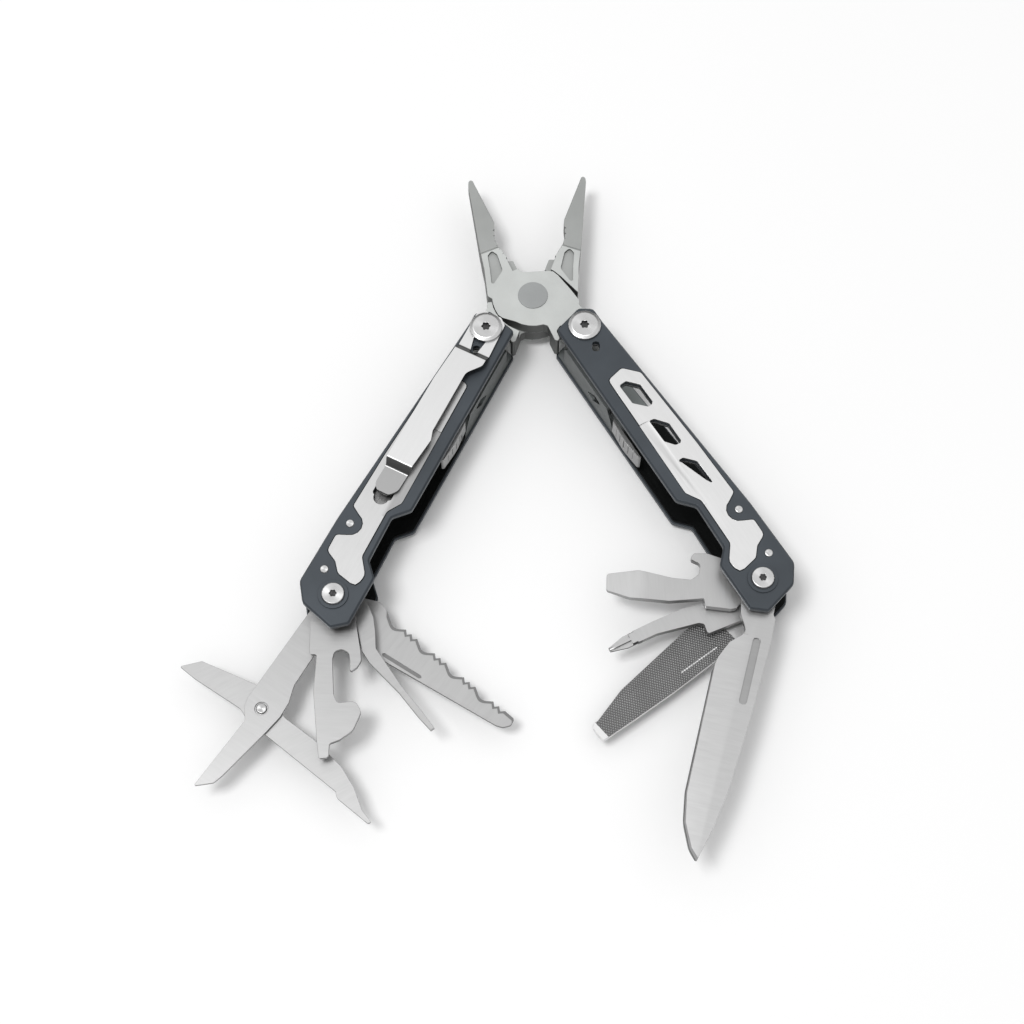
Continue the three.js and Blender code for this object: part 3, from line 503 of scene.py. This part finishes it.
def leaf_steel(node, origin, turn):
    """Steel of a fold-out tool, ground across its length, with painted shade where the leaf has one."""
    if node == "file":
        return file_steel("file_steel", origin, turn)
    # Painted shade: the left leaves take a darker level than the right.
    level = LEVEL["leaf_left_painted_shade" if origin[0] < 0 else "leaf_right"]
    shade_painter = LEAF_SHADE_PAINTERS.get(node)
    return brushed(
        node + "_steel", level, origin, turn, along=False,
        rough=0.37, contrast=0.035, shade_painter=shade_painter, relief=0.04
    )


# Painted shade for the leaves that have it.
LEAF_SHADE_PAINTERS = {"knife_blade": knife_painted_shade, "serrated_blade": serration_band_painted_shade, "phillips_driver": flute_painted_shade}
jaw_steel = blasted("jaw_steel", LEVEL["jaw"], (0.975, 1.0, 0.98), shade_painter=jaw_painted_shade)
scale_black = anodised("handle_anodised", (0.052, 0.061, 0.071))

for node in ("jaw_left", "jaw_right"):
    refine(node, jaw_steel, ROLL["jaw"])
disc_steel = blasted("jaw_rivet_steel", LEVEL["jaw_rivet"], (0.97, 1.0, 1.0), 0.45)
refine("jaw_rivet", disc_steel, ROLL["jaw_rivet"])

for side, turn in HANDLE_TURN.items():
    origin = Vector(JOINT[side + "_handle_fold"]["pos_m"])
    level_origin = Vector((origin[0], origin[1], 0.0))
    # Painted shade: each side's inlay takes its own level, the left one darker.
    inlay_steel = brushed(
        "inlay_steel_" + side, LEVEL["inlay_" + side], level_origin, turn,
        rough=0.38, contrast=0.025, shade_painter=scoop_painted_shade, relief=0.05
    )
    liner_steel = brushed("liner_steel_" + side, LEVEL["liner"], level_origin, turn, rough=0.36)
    # The lower liner is a darker copy of the liner steel: painted shade, nearly black down the channel.
    painted_shade_liner = brushed(
        "painted_shade_liner_" + side, LEVEL["lower_liner_painted_shade"], level_origin, turn,
        rough=0.42, tint=(0.93, 1.0, 1.0), shade_painter=channel_painted_shade
    )
    block_steel = brushed("release_steel_" + side, LEVEL["release"], level_origin, turn, rough=0.32)
    for face in ("top", "bottom"):
        refine("scale_" + face + "_" + side, scale_black, ROLL["scale"])
        refine("inlay_" + face + "_" + side, inlay_steel, ROLL["inlay"])
        refine("liner_" + face + "_" + side, liner_steel if face == "top" else painted_shade_liner, ROLL["liner"])
        for i in ("1", "2"):
            node = "rivet_" + face + "_" + i + "_" + side
            refine(node, turned(node + "_steel", LEVEL["screw"], centre(node)), ROLL["rivet"])
    for kind in ("pivot_screw", "pivot_barrel", "stack_screw", "stack_barrel"):
        node = kind + "_" + side
        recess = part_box(node)[1][2] - RECESS_DEPTH * MM if "screw" in kind else None
        refine(node, turned(node + "_steel", LEVEL["screw"], centre(node), recess=recess), ROLL["screw"])
    refine("lock_release_" + side, block_steel, ROLL["release"])
    refine("release_spring_" + side, liner_steel, ROLL["spring"])

clip_origin = Vector(JOINT["left_handle_fold"]["pos_m"])
clip_steel = brushed(
    "clip_steel", LEVEL["clip"], clip_origin, HANDLE_TURN["left"],
    rough=0.36, contrast=0.015, shade_painter=clip_bend_shade_and_tongue_grey, relief=0.01
)
refine("pocket_clip", clip_steel, ROLL["clip"], segments=3)

for node, (joint, turn) in LEAF_TURN.items():
    origin = Vector(JOINT[joint]["pos_m"])
    origin[2] = 0.0
    refine(node, leaf_steel(node, origin, turn), ROLL["leaf"])
rivet_steel = turned("scissors_rivet_steel", LEVEL["scissors_rivet"], centre("scissors_rivet"))
refine("scissors_rivet", rivet_steel, ROLL["scissors_rivet"])
washer_steel = brushed("washer_steel", LEVEL["washer"], (0, 0, 0), 0.0)
for node in ("washer_right_1", "washer_right_2", "washer_right_3", "spacer_left_1", "spacer_left_2"):
    refine(node, washer_steel, ROLL["washer"])


# ---- Floor, light and camera ----

FLOOR_SIZE = 60.0  # m, so that no edge shows in a low view
FLOOR_LEVEL = -0.1 * MM  # just below the lowest faces
bpy.ops.mesh.primitive_plane_add(size=FLOOR_SIZE, location=(0, 0, FLOOR_LEVEL))
floor = bpy.context.object
floor.name = "floor"
paper = Shader("floor_paper")
cloud = paper.noise(paper.local(), PAPER_CLOUD, 2.0, 0.5)
paper_white = paper.mix(cloud, rgb(LEVEL["floor_low"]), rgb(LEVEL["floor_high"]))
paper.feed(paper.surface.inputs["Base Color"], paper_white)
paper.surface.inputs["Roughness"].default_value = 0.9
floor.data.materials.append(paper.material)

# A soft dome, brighter overhead than at the horizon: strengths, and the heights between which it changes.
HORIZON_LIGHT = 0.1
ZENITH_LIGHT = 0.86
DOME_HEIGHTS = (0.15, 0.65)
world = bpy.data.worlds.new("studio")
world.use_nodes = True
tree = world.node_tree
height = tree.nodes.new("ShaderNodeSeparateXYZ")
tree.links.new(tree.nodes.new("ShaderNodeTexCoord").outputs["Generated"], height.inputs[0])
level = tree.nodes.new("ShaderNodeMapRange")
for key, value in zip(RANGE_KEYS, (*DOME_HEIGHTS, HORIZON_LIGHT, ZENITH_LIGHT)):
    level.inputs[key].default_value = value
tree.links.new(height.outputs[2], level.inputs["Value"])
tree.links.new(level.outputs[0], tree.nodes["Background"].inputs[1])
tree.nodes["Background"].inputs[0].default_value = (1.0, 1.0, 1.0, 1.0)
bpy.context.scene.world = world


def softbox(name, place, aim, size, power):
    """A rectangular area light turned towards aim."""
    data = bpy.data.lights.new(name, "AREA")
    data.shape = "RECTANGLE"
    data.size, data.size_y = size
    data.energy = power
    lamp = bpy.data.objects.new(name, data)
    bpy.context.scene.collection.objects.link(lamp)
    lamp.location = place
    lamp.rotation_euler = (Vector(aim) - Vector(place)).to_track_quat("-Z", "Y").to_euler()


KEY_PLACE = (-0.62, -0.2, 1.96)
KEY_SIZE = (0.6, 0.6)
KEY_WATTS = 20.0
softbox("key", KEY_PLACE, (0, 0, 0), KEY_SIZE, KEY_WATTS)

# The camera looks down at the tool from its handle side.
ELEVATION = math.radians(67.0)
HEADING = math.radians(-2.256)
DISTANCE = 0.50867
AIM = Vector((0.0075, 0.0005, 0.0))
LENS = 66.8  # mm, on a sensor 36 mm wide
forward = Vector((
    -math.sin(HEADING) * math.cos(ELEVATION), math.cos(HEADING) * math.cos(ELEVATION), -math.sin(ELEVATION)
))
camera_data = bpy.data.cameras.new("camera")
camera_data.sensor_width = 36.0
camera_data.lens = LENS
camera = bpy.data.objects.new("camera", camera_data)
bpy.context.scene.collection.objects.link(camera)
camera.location = AIM - forward * DISTANCE
camera.rotation_euler = forward.to_track_quat("-Z", "Y").to_euler()
bpy.context.scene.camera = camera
bpy.context.scene.view_settings.view_transform = "Standard"
